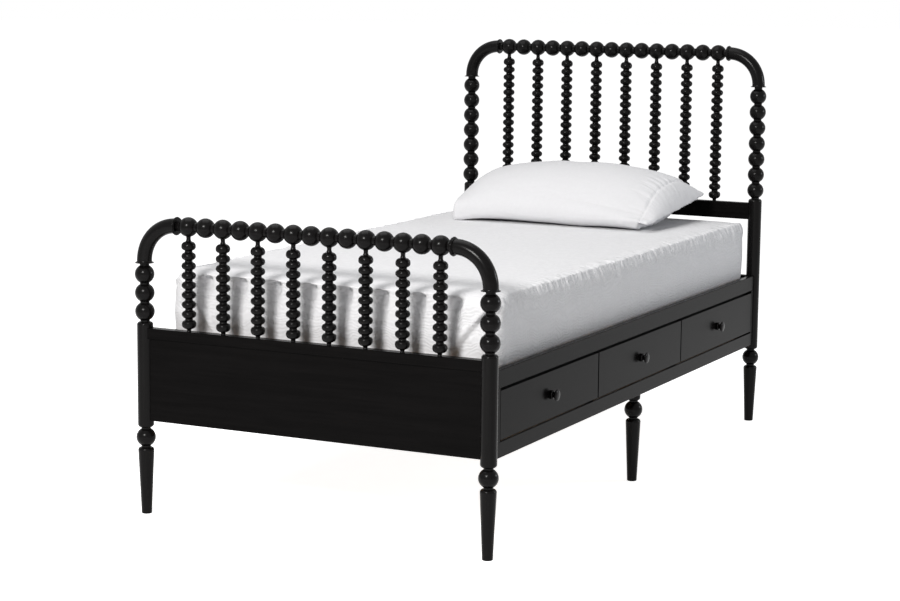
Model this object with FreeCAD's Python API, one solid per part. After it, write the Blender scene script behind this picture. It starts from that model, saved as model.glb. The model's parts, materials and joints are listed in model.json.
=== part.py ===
import FreeCAD, Part
import math
import os

# Twin platform bed: bobbin-turned head and foot ends, three drawers under one side, a mattress and a pillow.
# Millimetres. X runs across the bed with the drawers on +X, Y runs from the foot end to the headboard, Z is up.
# The origin is on the floor under the middle of the bed.

Vec = FreeCAD.Vector

# Overall size, over the turned balls
OVERALL_WIDTH = 1064.3
OVERALL_LENGTH = 2024.4
HEAD_HEIGHT = 1209.0
FOOT_HEIGHT = 807.0

# Turned posts and legs
BALL_D = 52.0
NECK_D = 25.0
POST_D = 43.0
SHOULDER_R = 8.0
NECK_LENGTH = 4.4
LEG_TIP_D = 28.0
LEG_TIP_ROUND = 2.0
LEG_HEIGHT = 181.3
POST_BALL_PITCH = 50.0
BALLS_CLEAR = 6.0
ELBOW_NECK = 7.0
HEAD_JOINT_Z = 622.0

# Bent elbows between posts and top rails
ELBOW_D = 40.0
BEND_R = 98.0
RIM_D = 50.0
RIM_THICK = 1.6
FLARE_LENGTH = 4.0
COLLAR_D = 49.0
COLLAR_LENGTH = 8.0
COLLAR_STEP_D = 45.0
COLLAR_STEP_LENGTH = 2.0
TENON_D = 16.0
TENON_LENGTH = 20.0
TENON_PLAY = 0.15
TENON_END_GAP = 1.0

# Beaded top rails
RAIL_BALLS = 15
RAIL_BALL_GAP = 0.6
RAIL_END_ROOM = 11.3

# Bobbin spindles, one under every other ball
SPINDLE_BEAD_D = 38.0
SPINDLE_EDGE_D = 23.0
SPINDLE_COVE_D = 20.0
SPINDLE_BEAD_H = 19.0
SPINDLE_BEAD_PITCH = 25.4
SPINDLE_NECK_D = 11.6
SPINDLE_SEAT_D = 13.0
SPINDLE_SHANK_D = 16.0
SPINDLE_LOW_END = 20.0
SPINDLE_HIGH_END = 26.0
SPINDLE_TIP_H = 13.0
SPINDLE_TENON_D = 9.0
SPINDLE_TENON_LENGTH = 14.0

# Flat boards of the two ends
CAP_TOP = 505.0
CAP_H = 28.0
CAP_T = 28.0
CAP_EDGE_R = 2.0
END_PANEL_T = 16.0
END_PANEL_BOTTOM = 255.0
HEAD_PANEL_TOP = 475.0
HEAD_RAIL_BOTTOM = 656.0
HEAD_RAIL_H = 53.0
HEAD_RAIL_T = 22.0
PANEL_SEAT = 19.0
RAIL_SEAT = 14.0
HOUSING_PLAY = 0.2

# Side boards
SIDE_FACE = 11.0
SIDE_SEAT = 16.5
SIDE_T = 18.0
SIDE_TOP = 476.3
SIDE_BOTTOM = 252.6
SIDE_TOP_RAIL_H = 45.6
SIDE_BOTTOM_RAIL_H = 40.7
STILE_SHOW = 21.73
SIDE_EDGE_R = 1.5

# Platform
MATTRESS_BOTTOM = 450.0
SLAT_T = 18.0
SLAT_W = 90.0
SLAT_COUNT = 13
SLAT_END_GAP = 4.0
SLAT_ROW_END = 6.0
LEDGER_W = 25.0
LEDGER_H = 25.0
LEDGER_END_GAP = 4.0
CENTRE_PANEL_T = 18.0
CENTRE_PANEL_BOTTOM = 262.0
PARTITION_T = 16.0

# Drawers
DRAWER_COUNT = 3
FRONT_T = 16.0
FRONT_BOTTOM_GAP = 5.0
FRONT_TOP_GAP = 8.0
FRONT_SIDE_GAP = 7.0
FRONT_END_GAP = 2.5
BOX_BACK_GAP = 42.15
BOX_WALL = 12.0
BOX_BOTTOM_Z = 304.0
BOX_TOP_Z = 400.0
TRAY_T = 5.0
TRAY_LIFT = 6.0
GROOVE_DEPTH = 5.0
GROOVE_PLAY = 0.1
SLIDE_SPACE = 12.85
SLIDE_H = 35.0
SLIDE_FLANGE = 8.6
SLIDE_SHEET = 1.2
SLIDE_RUN_GAP = 0.4
SLIDE_BACK_GAP = 1.0
SLIDE_Z = 352.0
SLIDE_END_GAP = 2.0

# Turned drawer knobs
KNOB_LENGTH = 18.5
KNOB_BASE_D = 24.0
KNOB_FOOT_D = 18.0
KNOB_BASE_H = 7.0
KNOB_WAIST_D = 12.5
KNOB_HEAD_D = 30.5
KNOB_RIM = 2.0
KNOB_DOME = 1.5
KNOB_TENON_D = 10.0

# Middle leg and hidden fastening
MID_STUB_D = 39.0
MID_LEG_INSET = 3.4
MID_BLOCK_T = 30.0
MID_BLOCK_LENGTH = 80.0
MID_BLOCK_DROP = 3.0
BOLT_D = 8.0
DOWEL_SCREW_D = 6.0
DOWEL_SCREW_HALF = 30.0
SCREW_PLAY = 0.1
PLATE_T = 2.5
PLATE_H = 34.0
PLATE_FLANGE = 25.0
PLATE_REACH = 42.0
PLATE_LIFT = 5.0
NUT_FLATS = 13.0
NUT_H = 6.5
BOLT_START = 2.0
BOLT_TAIL = 4.0

# Mattress under its tucked cover
MATTRESS_SIDE_GAP = 17.15
MATTRESS_FOOT_GAP = 68.2
MATTRESS_HEAD_GAP = 14.2
MATTRESS_TOP = 652.0
HEAD_CORNER_R = 25.0
FOOT_CORNER_R = 78.0
HEM_IN = 16.0
HEM_H = 16.0
COVER_EDGE_IN = 70.0
COVER_EDGE_H = 30.0
FOOT_EDGE_IN = 32.0
PLEAT_DEPTH = 7.0
SOFT_GAP = 0.3

# Pillow: four seam corners, a crown and a belly that rests on the mattress
PILLOW_FRONT_W = 645.0
PILLOW_BACK_W = 705.0
PILLOW_DEPTH = 437.0
PILLOW_HEAD_GAP = 47.0
PILLOW_FRONT_LIFT = (4.0, 22.0, 29.0)
PILLOW_BACK_LIFT = (78.0, 92.0, 84.0)
PILLOW_CROWN_IN = 227.0
PILLOW_CROWN = 183.0
PILLOW_REST_IN = 152.0
PILLOW_REST_LIFT = 4.3
PILLOW_CHIN = 46.0
PILLOW_CHIN_LIFT = 6.0
PILLOW_EDGE = 6.0
PILLOW_END = 0.4
PILLOW_BROW = 26.0
PILLOW_BROW_RISE = (56.0, 62.0, 4.0)
PILLOW_WAIST = 14.0

# Places worked out from the sizes
BALL_R = BALL_D / 2
NECK_R = NECK_D / 2
POST_R = POST_D / 2
POST_X = (OVERALL_WIDTH - BALL_D) / 2
POST_Y = (OVERALL_LENGTH - BALL_D) / 2
FLANGE_LENGTH = RIM_THICK + FLARE_LENGTH
RAIL_HALF = POST_X - BEND_R - COLLAR_LENGTH
RAIL_BALL_PITCH = (2 * RAIL_HALF - RAIL_END_ROOM) / RAIL_BALLS
RAIL_BALL_R = (RAIL_BALL_PITCH - RAIL_BALL_GAP) / 2
HEAD_RAIL_Z = HEAD_HEIGHT - RAIL_BALL_R
FOOT_RAIL_Z = FOOT_HEIGHT - RAIL_BALL_R
HEAD_RAIL_TOP = HEAD_RAIL_BOTTOM + HEAD_RAIL_H
SPINDLE_PITCH = 2 * RAIL_BALL_PITCH
SPINDLE_COUNT = (RAIL_BALLS + 1) // 2
SPINDLE_SEAT_DROP = math.sqrt(RAIL_BALL_R ** 2 - (SPINDLE_SEAT_D / 2) ** 2)
SIDE_OUT = POST_X + SIDE_FACE
SIDE_IN = SIDE_OUT - SIDE_T
SIDE_END = POST_Y - SIDE_SEAT
PANEL_END = POST_X - PANEL_SEAT
PANEL_IN = POST_Y - END_PANEL_T / 2
RAIL_END = POST_X - RAIL_SEAT
CAP_BOTTOM = CAP_TOP - CAP_H
OPENING_BOTTOM = SIDE_BOTTOM + SIDE_BOTTOM_RAIL_H
OPENING_TOP = SIDE_TOP - SIDE_TOP_RAIL_H
OPENING_END = POST_Y - math.sqrt(POST_R ** 2 - SIDE_FACE ** 2) - STILE_SHOW
SLAT_BOTTOM = MATTRESS_BOTTOM - SLAT_T
LEDGER_BOTTOM = SLAT_BOTTOM - LEDGER_H
CENTRE_FACE = CENTRE_PANEL_T / 2
FRONT_PITCH = (2 * (OPENING_END - FRONT_END_GAP) + FRONT_SIDE_GAP) / DRAWER_COUNT
FRONT_W = FRONT_PITCH - FRONT_SIDE_GAP
FRONT_BACK = SIDE_OUT - FRONT_T
BAY_HALF = (FRONT_PITCH - PARTITION_T) / 2
BOX_HALF = BAY_HALF - SLIDE_SPACE
BOX_BACK = CENTRE_FACE + BOX_BACK_GAP
TRAY_Z = BOX_BOTTOM_Z + TRAY_LIFT
KNOB_Z = (OPENING_BOTTOM + FRONT_BOTTOM_GAP + OPENING_TOP - FRONT_TOP_GAP) / 2
MID_LEG_X = SIDE_IN - MID_LEG_INSET
PLATE_Z = SIDE_BOTTOM + PLATE_LIFT
MATTRESS_HALF = SIDE_IN - MATTRESS_SIDE_GAP
MATTRESS_FOOT_Y = MATTRESS_FOOT_GAP - POST_Y
MATTRESS_HEAD_Y = POST_Y - MATTRESS_HEAD_GAP
PILLOW_BACK_Y = MATTRESS_HEAD_Y - PILLOW_HEAD_GAP
PILLOW_FRONT_Y = PILLOW_BACK_Y - PILLOW_DEPTH
PILLOW_CROWN_Y = PILLOW_FRONT_Y + PILLOW_CROWN_IN
PILLOW_REST_Y = PILLOW_FRONT_Y + PILLOW_REST_IN


def box(x, y, z):
    """A block from three low and high pairs."""
    return Part.makeBox(x[1] - x[0], y[1] - y[0], z[1] - z[0], Vec(x[0], y[0], z[0]))


def rod(radius, start, end):
    """A cylinder between two points."""
    return Part.makeCylinder(radius, (end - start).Length, start, end - start)


def rounded(block, radius, direction):
    """Rounds a block's four long edges, which run along the given direction."""
    edges = [e for e in block.Edges if abs(e.tangentAt(e.FirstParameter).dot(direction)) > 0.99]
    return block.makeFillet(radius, edges)


def mirrored(shape):
    """The same piece on the other side of the bed."""
    return shape.mirror(Vec(0, 0, 0), Vec(1, 0, 0))


class Turning:
    """A lathe profile of radius and height, closed on the axis and turned once round."""

    def __init__(self, height):
        self.at = Vec(0, 0, height)
        self.edges = []

    def line(self, radius, height):
        to = Vec(radius, 0, height)
        if (to - self.at).Length > 1e-6:
            self.edges.append(Part.makeLine(self.at, to))
        self.at = to
        return self

    def arc(self, mid_radius, mid_height, radius, height):
        to = Vec(radius, 0, height)
        self.edges.append(Part.Arc(self.at, Vec(mid_radius, 0, mid_height), to).toShape())
        self.at = to
        return self

    def quarter(self, radius, height, convex):
        """A quarter round to a point, standing proud of the straight line or sunk below it."""
        rise = height - self.at.z
        step = radius - self.at.x
        share = math.sqrt(0.5)
        outward = (step > 0) == convex
        across = share if outward else 1 - share
        along = 1 - share if outward else share
        return self.arc(self.at.x + step * across, self.at.z + rise * along, radius, height)

    def ball(self, centre, radius):
        half = ball_half(radius)
        self.line(NECK_R, centre - half)
        return self.arc(radius, centre, NECK_R, centre + half)

    def shoulder_in(self, height):
        """Ends a post's cylinder with a rounded shoulder down to the neck."""
        step = min(SHOULDER_R, POST_R - NECK_R)
        self.line(POST_R, height - step)
        return self.quarter(POST_R - step, height, True).line(NECK_R, height)

    def shoulder_out(self, height, radius):
        """Starts a cylinder with a rounded shoulder up from the neck."""
        step = min(SHOULDER_R, radius - NECK_R)
        self.line(NECK_R, height).line(radius - step, height)
        return self.quarter(radius, height + step, True)

    def solid(self):
        self.line(0, self.at.z)
        start = self.edges[0].Vertexes[0].Point
        self.edges.append(Part.makeLine(self.at, start))
        face = Part.Face(Part.Wire(self.edges))
        return face.revolve(Vec(0, 0, 0), Vec(0, 0, 1), 360)


def ball_half(radius):
    """Half the height of a ball between its two necks."""
    return math.sqrt(radius ** 2 - NECK_R ** 2)


def turned_leg(radius):
    """The tapered leg and its ball, up to the rounded start of the cylinder above."""
    half = ball_half(BALL_R)
    leg = Turning(0).line(LEG_TIP_D / 2 - LEG_TIP_ROUND, 0).quarter(LEG_TIP_D / 2, LEG_TIP_ROUND, True)
    leg.shoulder_in(LEG_HEIGHT)
    leg.ball(LEG_HEIGHT + NECK_LENGTH + half, BALL_R)
    return leg.shoulder_out(LEG_HEIGHT + 2 * (NECK_LENGTH + half), radius)


def ball_stack(turning, board_top, top):
    """As many balls as fit between a board's top and the elbow, over a shoulder, and the tenon in the elbow."""
    half = ball_half(BALL_R)
    room = top - ELBOW_NECK - board_top - BALLS_CLEAR - NECK_LENGTH - 2 * half
    steps = int(room / POST_BALL_PITCH)
    first = top - ELBOW_NECK - half - steps * POST_BALL_PITCH
    turning.shoulder_in(first - half - NECK_LENGTH)
    for i in range(steps + 1):
        turning.ball(first + i * POST_BALL_PITCH, BALL_R)
    turning.line(NECK_R, top).line(TENON_D / 2, top)
    return turning.line(TENON_D / 2, top + TENON_LENGTH)


def elbow_foot(rail_z):
    """The height where an elbow stands on its post."""
    return rail_z - BEND_R - FLANGE_LENGTH


def side_housing(post_y_sign):
    """The flat seat in a right-hand post for the ends of the side boards."""
    low, high = sorted((post_y_sign * SIDE_END, post_y_sign * (SIDE_END - POST_D)))
    x = (SIDE_IN - HOUSING_PLAY, SIDE_OUT + HOUSING_PLAY)
    return box(x, (low, high), (SIDE_BOTTOM - HOUSING_PLAY, SIDE_TOP + HOUSING_PLAY))


def end_housing(y, seat, thickness, bottom, top):
    """The flat seat in a right-hand post for the end of a board that runs across the bed."""
    half = thickness / 2 + HOUSING_PLAY
    z = (bottom - HOUSING_PLAY, top + HOUSING_PLAY)
    return box((seat - POST_D, seat), (y - half, y + half), z)


def corner_ray(y_sign, distance):
    """A point on the diagonal from a right-hand post's axis towards the middle of the bed."""
    step = distance / math.sqrt(2)
    return Vec(POST_X - step, y_sign * (POST_Y - step), PLATE_Z + PLATE_H / 2)


def bolt_hole(y_sign):
    return rod(BOLT_D / 2 + SCREW_PLAY, corner_ray(y_sign, BOLT_START), corner_ray(y_sign, 2 * POST_D))


def foot_post():
    post = ball_stack(turned_leg(POST_R), CAP_TOP, elbow_foot(FOOT_RAIL_Z)).solid()
    post.translate(Vec(POST_X, -POST_Y, 0))
    cuts = [side_housing(-1), bolt_hole(-1)]
    cuts.append(end_housing(-POST_Y, PANEL_END, END_PANEL_T, END_PANEL_BOTTOM, CAP_BOTTOM))
    cuts.append(end_housing(-POST_Y, RAIL_END, CAP_T, CAP_BOTTOM, CAP_TOP))
    return post.cut(cuts)


def head_leg():
    leg = turned_leg(POST_R).line(POST_R, HEAD_JOINT_Z).solid()
    leg.translate(Vec(POST_X, POST_Y, 0))
    joint = Vec(POST_X, POST_Y, HEAD_JOINT_Z)
    cuts = [side_housing(1), bolt_hole(1), dowel_screw_hole(joint, -1)]
    cuts.append(end_housing(POST_Y, PANEL_END, END_PANEL_T, END_PANEL_BOTTOM, HEAD_PANEL_TOP))
    return leg.cut(cuts)


def head_post():
    turning = Turning(HEAD_JOINT_Z).line(POST_R, HEAD_JOINT_Z)
    post = ball_stack(turning, HEAD_RAIL_TOP, elbow_foot(HEAD_RAIL_Z)).solid()
    post.translate(Vec(POST_X, POST_Y, 0))
    joint = Vec(POST_X, POST_Y, HEAD_JOINT_Z)
    rail = end_housing(POST_Y, RAIL_END, HEAD_RAIL_T, HEAD_RAIL_BOTTOM, HEAD_RAIL_TOP)
    return post.cut([rail, dowel_screw_hole(joint, 1)])


def elbow(y, rail_z):
    """A quarter bend with a flared rim on the post and a ringed collar on the rail."""
    radius = ELBOW_D / 2
    start = Vec(POST_X, y, rail_z - BEND_R)
    centre = Vec(POST_X - BEND_R, y, rail_z - BEND_R)
    section = Part.Face(Part.Wire(Part.makeCircle(radius, start, Vec(0, 0, 1))))
    bend = section.revolve(centre, Vec(0, -1, 0), 90)
    foot = elbow_foot(rail_z)
    rim = Turning(foot).line(RIM_D / 2, foot).line(RIM_D / 2, foot + RIM_THICK)
    rim = rim.quarter(radius, foot + FLANGE_LENGTH, False).solid()
    rim.translate(Vec(POST_X, y, 0))
    ring = Turning(-COLLAR_LENGTH).line(COLLAR_STEP_D / 2, -COLLAR_LENGTH)
    ring.line(COLLAR_STEP_D / 2, COLLAR_STEP_LENGTH - COLLAR_LENGTH)
    ring.arc(COLLAR_D / 2, -COLLAR_LENGTH / 2, COLLAR_STEP_D / 2, -COLLAR_STEP_LENGTH)
    ring = ring.line(COLLAR_STEP_D / 2, 0).solid()
    ring.rotate(Vec(0, 0, 0), Vec(0, 1, 0), 90)
    ring.translate(Vec(POST_X - BEND_R, y, rail_z))
    bore = TENON_D / 2 + TENON_PLAY
    depth = TENON_LENGTH + TENON_END_GAP
    post_bore = rod(bore, Vec(POST_X, y, foot), Vec(POST_X, y, foot + depth))
    rail_bore = rod(bore, Vec(RAIL_HALF, y, rail_z), Vec(RAIL_HALF + depth, y, rail_z))
    return bend.fuse([rim, ring]).cut([post_bore, rail_bore]).removeSplitter()


def spindle_places():
    """The X of each spindle, under every other ball of the rail."""
    first = -SPINDLE_PITCH * (SPINDLE_COUNT - 1) / 2
    return [first + i * SPINDLE_PITCH for i in range(SPINDLE_COUNT)]


def top_rail(y, rail_z):
    """A row of equal balls with a tenon at each end and a socket under each spindle's ball."""
    rail = Turning(-RAIL_HALF - TENON_LENGTH).line(TENON_D / 2, -RAIL_HALF - TENON_LENGTH)
    rail.line(TENON_D / 2, -RAIL_HALF).line(NECK_R, -RAIL_HALF)
    for i in range(RAIL_BALLS):
        rail.ball((i - (RAIL_BALLS - 1) / 2) * RAIL_BALL_PITCH, RAIL_BALL_R)
    rail.line(NECK_R, RAIL_HALF).line(TENON_D / 2, RAIL_HALF)
    rail = rail.line(TENON_D / 2, RAIL_HALF + TENON_LENGTH).solid()
    rail.rotate(Vec(0, 0, 0), Vec(0, 1, 0), 90)
    rail.translate(Vec(0, y, rail_z))
    seat = rail_z - SPINDLE_SEAT_DROP
    sockets = []
    for x in spindle_places():
        base = Vec(x, y, rail_z - 2 * RAIL_BALL_R)
        sockets.append(rod(SPINDLE_SEAT_D / 2 + TENON_PLAY, base, Vec(x, y, seat)))
        sockets.append(rod(SPINDLE_TENON_D / 2 + TENON_PLAY, base, socket_end(x, y, seat, 1)))
    return rail.cut(sockets)


def socket_end(x, y, seat, up):
    """The bottom of the blind hole that takes a spindle's tenon."""
    return Vec(x, y, seat + up * (SPINDLE_TENON_LENGTH + TENON_END_GAP))


def spindle(x, y, low, high):
    """A turned bobbin with a teardrop bead and a slim neck at each end."""
    tenon = SPINDLE_TENON_D / 2
    bead = SPINDLE_BEAD_D / 2
    edge = SPINDLE_EDGE_D / 2
    half = SPINDLE_BEAD_H / 2
    first = low + SPINDLE_LOW_END
    last = high - SPINDLE_HIGH_END
    steps = round((last - first) / SPINDLE_BEAD_PITCH)
    pitch = (last - first) / steps
    turning = Turning(low - SPINDLE_TENON_LENGTH).line(tenon, low - SPINDLE_TENON_LENGTH)
    turning.line(tenon, low).line(SPINDLE_SEAT_D / 2, low)
    turning.arc(SPINDLE_NECK_D / 2, (low + first - SPINDLE_TIP_H) / 2, SPINDLE_SHANK_D / 2, first - SPINDLE_TIP_H)
    turning.quarter(bead, first, True).quarter(edge, first + half, True)
    for i in range(1, steps):
        centre = first + i * pitch
        turning.arc(SPINDLE_COVE_D / 2, centre - pitch / 2, edge, centre - half)
        turning.arc(bead, centre, edge, centre + half)
    turning.arc(SPINDLE_COVE_D / 2, last - pitch / 2, edge, last - half)
    turning.quarter(bead, last, True).quarter(SPINDLE_SHANK_D / 2, last + SPINDLE_TIP_H, True)
    turning.arc(SPINDLE_NECK_D / 2, (high + last + SPINDLE_TIP_H) / 2, SPINDLE_SEAT_D / 2, high)
    turning.line(tenon, high).line(tenon, high + SPINDLE_TENON_LENGTH)
    solid = turning.solid()
    solid.translate(Vec(x, y, 0))
    return solid


def drilled_for_spindles(board, y, top):
    """A board with a blind hole under each spindle."""
    radius = SPINDLE_TENON_D / 2 + TENON_PLAY
    holes = [rod(radius, Vec(x, y, top), socket_end(x, y, top, -1)) for x in spindle_places()]
    return board.cut(holes)


def cap_rail():
    y = (-POST_Y - CAP_T / 2, -POST_Y + CAP_T / 2)
    cap = rounded(box((-RAIL_END, RAIL_END), y, (CAP_BOTTOM, CAP_TOP)), CAP_EDGE_R, Vec(1, 0, 0))
    return drilled_for_spindles(cap, -POST_Y, CAP_TOP)


def head_lower_rail():
    y = (POST_Y - HEAD_RAIL_T / 2, POST_Y + HEAD_RAIL_T / 2)
    rail = rounded(box((-RAIL_END, RAIL_END), y, (HEAD_RAIL_BOTTOM, HEAD_RAIL_TOP)), CAP_EDGE_R, Vec(1, 0, 0))
    return drilled_for_spindles(rail, POST_Y, HEAD_RAIL_TOP)


def end_panel(y, top):
    """The board between two posts at the height of the platform."""
    return box((-PANEL_END, PANEL_END), (y - END_PANEL_T / 2, y + END_PANEL_T / 2), (END_PANEL_BOTTOM, top))


def side_board(bottom, top):
    """A board of the drawer side, from post to post."""
    board = box((SIDE_IN, SIDE_OUT), (-SIDE_END, SIDE_END), (bottom, top))
    return rounded(board, SIDE_EDGE_R, Vec(0, 1, 0))


def side_stiles():
    """The upright beside each post, between the two rails of the drawer side."""
    x = (SIDE_IN, SIDE_OUT)
    z = (OPENING_BOTTOM, OPENING_TOP)
    return Part.Compound([box(x, (OPENING_END, SIDE_END), z), box(x, (-SIDE_END, -OPENING_END), z)])


def partitions():
    """The uprights between and beside the drawer bays, under the ledger."""
    boards = []
    for i in range(DRAWER_COUNT + 1):
        y = (i - DRAWER_COUNT / 2) * FRONT_PITCH
        board = box(
            (CENTRE_FACE, SIDE_IN),
            (y - PARTITION_T / 2, y + PARTITION_T / 2),
            (OPENING_BOTTOM, LEDGER_BOTTOM),
        )
        boards.append(board)
    return Part.Compound(boards)


def centre_panel():
    """The lengthwise board behind the drawers, which carries the slats in the middle."""
    return box((-CENTRE_FACE, CENTRE_FACE), (-PANEL_IN, PANEL_IN), (CENTRE_PANEL_BOTTOM, SLAT_BOTTOM))


def ledgers():
    """The strip inside each side that carries the ends of the slats."""
    end = POST_Y - POST_R - LEDGER_END_GAP
    strip = box((SIDE_IN - LEDGER_W, SIDE_IN), (-end, end), (LEDGER_BOTTOM, SLAT_BOTTOM))
    return Part.Compound([strip, mirrored(strip)])


def slats():
    """The row of boards under the mattress."""
    half = SIDE_IN - SLAT_END_GAP
    first = -POST_Y + POST_R + SLAT_ROW_END
    pitch = (-2 * first - SLAT_W) / (SLAT_COUNT - 1)
    boards = []
    for i in range(SLAT_COUNT):
        y = first + i * pitch
        boards.append(box((-half, half), (y, y + SLAT_W), (SLAT_BOTTOM, MATTRESS_BOTTOM)))
    return Part.Compound(boards)


def drawer_y(index):
    return (index - (DRAWER_COUNT - 1) / 2) * FRONT_PITCH


def groove(y):
    """The slot round the inside of a drawer that its bottom slides into."""
    half = BOX_HALF - BOX_WALL + GROOVE_DEPTH
    z = (TRAY_Z - GROOVE_PLAY, TRAY_Z + TRAY_T + GROOVE_PLAY)
    return box((BOX_BACK - BOX_WALL, FRONT_BACK + GROOVE_DEPTH), (y - half, y + half), z)


def drawer_front(y):
    z = (OPENING_BOTTOM + FRONT_BOTTOM_GAP, OPENING_TOP - FRONT_TOP_GAP)
    board = box((FRONT_BACK, SIDE_OUT), (y - FRONT_W / 2, y + FRONT_W / 2), z)
    hole = rod(KNOB_TENON_D / 2 + TENON_PLAY, Vec(FRONT_BACK, y, KNOB_Z), Vec(SIDE_OUT, y, KNOB_Z))
    return board.cut([groove(y), hole])


def drawer_box(y):
    """Two sides, a back that stands on the bottom, and the bottom in its grooves."""
    x = (BOX_BACK, FRONT_BACK)
    z = (BOX_BOTTOM_Z, BOX_TOP_Z)
    walls = []
    for side in (-1, 1):
        span = sorted((y + side * BOX_HALF, y + side * (BOX_HALF - BOX_WALL)))
        walls.append(box(x, span, z).cut(groove(y)))
    inner = BOX_HALF - BOX_WALL
    back = box((BOX_BACK, BOX_BACK + BOX_WALL), (y - inner, y + inner), (TRAY_Z + TRAY_T, BOX_TOP_Z))
    reach = inner + GROOVE_DEPTH - GROOVE_PLAY
    tray_x = (BOX_BACK, FRONT_BACK + GROOVE_DEPTH - GROOVE_PLAY)
    tray = box(tray_x, (y - reach, y + reach), (TRAY_Z, TRAY_Z + TRAY_T))
    return Part.Compound(walls + [back, tray])


def channel(x, faces, flange_tip, half):
    """A pressed slide member: a web between two faces and a flange along each edge, run along X."""
    web_out, web_in = faces
    outline = [
        (web_out, -half), (flange_tip, -half), (flange_tip, SLIDE_SHEET - half), (web_in, SLIDE_SHEET - half),
        (web_in, half - SLIDE_SHEET), (flange_tip, half - SLIDE_SHEET), (flange_tip, half), (web_out, half),
    ]
    points = [Vec(x[0], py, SLIDE_Z + pz) for py, pz in outline]
    face = Part.Face(Part.makePolygon(points + points[:1]))
    return face.extrude(Vec(x[1] - x[0], 0, 0))


def fixed_slides():
    """The slide members on the partitions, two to a bay."""
    x = (BOX_BACK, SIDE_IN - SLIDE_END_GAP)
    members = []
    for i in range(DRAWER_COUNT):
        for side in (-1, 1):
            wall = drawer_y(i) + side * BAY_HALF
            faces = (wall, wall - side * SLIDE_SHEET)
            members.append(channel(x, faces, wall - side * SLIDE_FLANGE, SLIDE_H / 2))
    return Part.Compound(members)


def moving_slides(y):
    """The slide members on a drawer's sides, which run inside the fixed ones."""
    x = (BOX_BACK + SLIDE_END_GAP, SIDE_IN)
    half = SLIDE_H / 2 - SLIDE_SHEET - SLIDE_RUN_GAP
    members = []
    for side in (-1, 1):
        wall = y + side * BOX_HALF
        tip = y + side * (BAY_HALF - SLIDE_SHEET - SLIDE_BACK_GAP)
        members.append(channel(x, (wall, wall + side * SLIDE_SHEET), tip, half))
    return Part.Compound(members)


def knob(y):
    """A turned knob: a bead on the face, a waist, a flared head and a tenon in the drawer front."""
    tenon = KNOB_TENON_D / 2
    foot = KNOB_FOOT_D / 2
    waist = KNOB_WAIST_D / 2
    head = KNOB_HEAD_D / 2
    rim = KNOB_LENGTH - KNOB_DOME
    turning = Turning(TENON_END_GAP - FRONT_T).line(tenon, TENON_END_GAP - FRONT_T).line(tenon, 0)
    turning.line(foot, 0).arc(KNOB_BASE_D / 2, KNOB_BASE_H / 2, foot, KNOB_BASE_H)
    turning.line(waist, KNOB_BASE_H).quarter(head, rim - KNOB_RIM, False)
    turning.arc(head + KNOB_RIM / 4, rim - KNOB_RIM / 2, head, rim)
    crown = (head ** 2 + KNOB_DOME ** 2) / (2 * KNOB_DOME)
    tilt = math.asin(head / crown) / 2
    turning.arc(crown * math.sin(tilt), KNOB_LENGTH - crown * (1 - math.cos(tilt)), 0, KNOB_LENGTH)
    solid = turning.solid()
    solid.rotate(Vec(0, 0, 0), Vec(0, 1, 0), 90)
    solid.translate(Vec(SIDE_OUT, y, KNOB_Z))
    return solid


def dowel_screw_hole(joint, up):
    return rod(DOWEL_SCREW_D / 2 + SCREW_PLAY, joint, joint + Vec(0, 0, up * (DOWEL_SCREW_HALF + TENON_END_GAP)))


def mid_joint():
    """The point where the middle leg meets the block behind the bottom rail."""
    return Vec(MID_LEG_X, 0, SIDE_BOTTOM)


def mid_leg():
    leg = turned_leg(MID_STUB_D / 2).line(MID_STUB_D / 2, SIDE_BOTTOM).solid()
    leg.translate(Vec(MID_LEG_X, 0, 0))
    return leg.cut(dowel_screw_hole(mid_joint(), -1))


def mid_block():
    """The block that widens the bottom rail over the middle leg."""
    half = MID_BLOCK_LENGTH / 2
    z = (SIDE_BOTTOM, OPENING_BOTTOM - MID_BLOCK_DROP)
    block = box((SIDE_IN - MID_BLOCK_T, SIDE_IN), (-half, half), z)
    return block.cut(dowel_screw_hole(mid_joint(), 1))


def dowel_screws():
    """The screws inside the two-piece head posts and the middle leg."""
    joints = [mid_joint(), Vec(POST_X, POST_Y, HEAD_JOINT_Z), Vec(-POST_X, POST_Y, HEAD_JOINT_Z)]
    half = Vec(0, 0, DOWEL_SCREW_HALF)
    return Part.Compound([rod(DOWEL_SCREW_D / 2, joint - half, joint + half) for joint in joints])


def at_corners(make):
    """A piece made for the two right-hand corners, with its mirror image at the left-hand ones."""
    right = [make(-1), make(1)]
    return right + [mirrored(shape) for shape in right]


def corner_plate(y_sign):
    """A bent plate across the inside of a corner, flat against the side board and the end panel."""
    slant = PLATE_REACH * math.sqrt(2)
    side_y = POST_Y - slant + POST_X - SIDE_IN
    end_x = POST_X - slant + POST_Y - PANEL_IN
    back = PLATE_T * (math.sqrt(2) - 1)
    outline = [
        (SIDE_IN, side_y - PLATE_FLANGE), (SIDE_IN, side_y), (end_x, PANEL_IN), (end_x - PLATE_FLANGE, PANEL_IN),
        (end_x - PLATE_FLANGE, PANEL_IN - PLATE_T), (end_x - back, PANEL_IN - PLATE_T),
        (SIDE_IN - PLATE_T, side_y - back), (SIDE_IN - PLATE_T, side_y - PLATE_FLANGE),
    ]
    points = [Vec(x, y_sign * y, PLATE_Z) for x, y in outline]
    face = Part.Face(Part.makePolygon(points + points[:1]))
    return face.extrude(Vec(0, 0, PLATE_H)).cut(bolt_hole(y_sign))


def corner_bolt(y_sign):
    """A hanger bolt from a post, out through the corner plate and its nut."""
    end = PLATE_REACH + PLATE_T + NUT_H + BOLT_TAIL
    return rod(BOLT_D / 2, corner_ray(y_sign, BOLT_START), corner_ray(y_sign, end))


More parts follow.
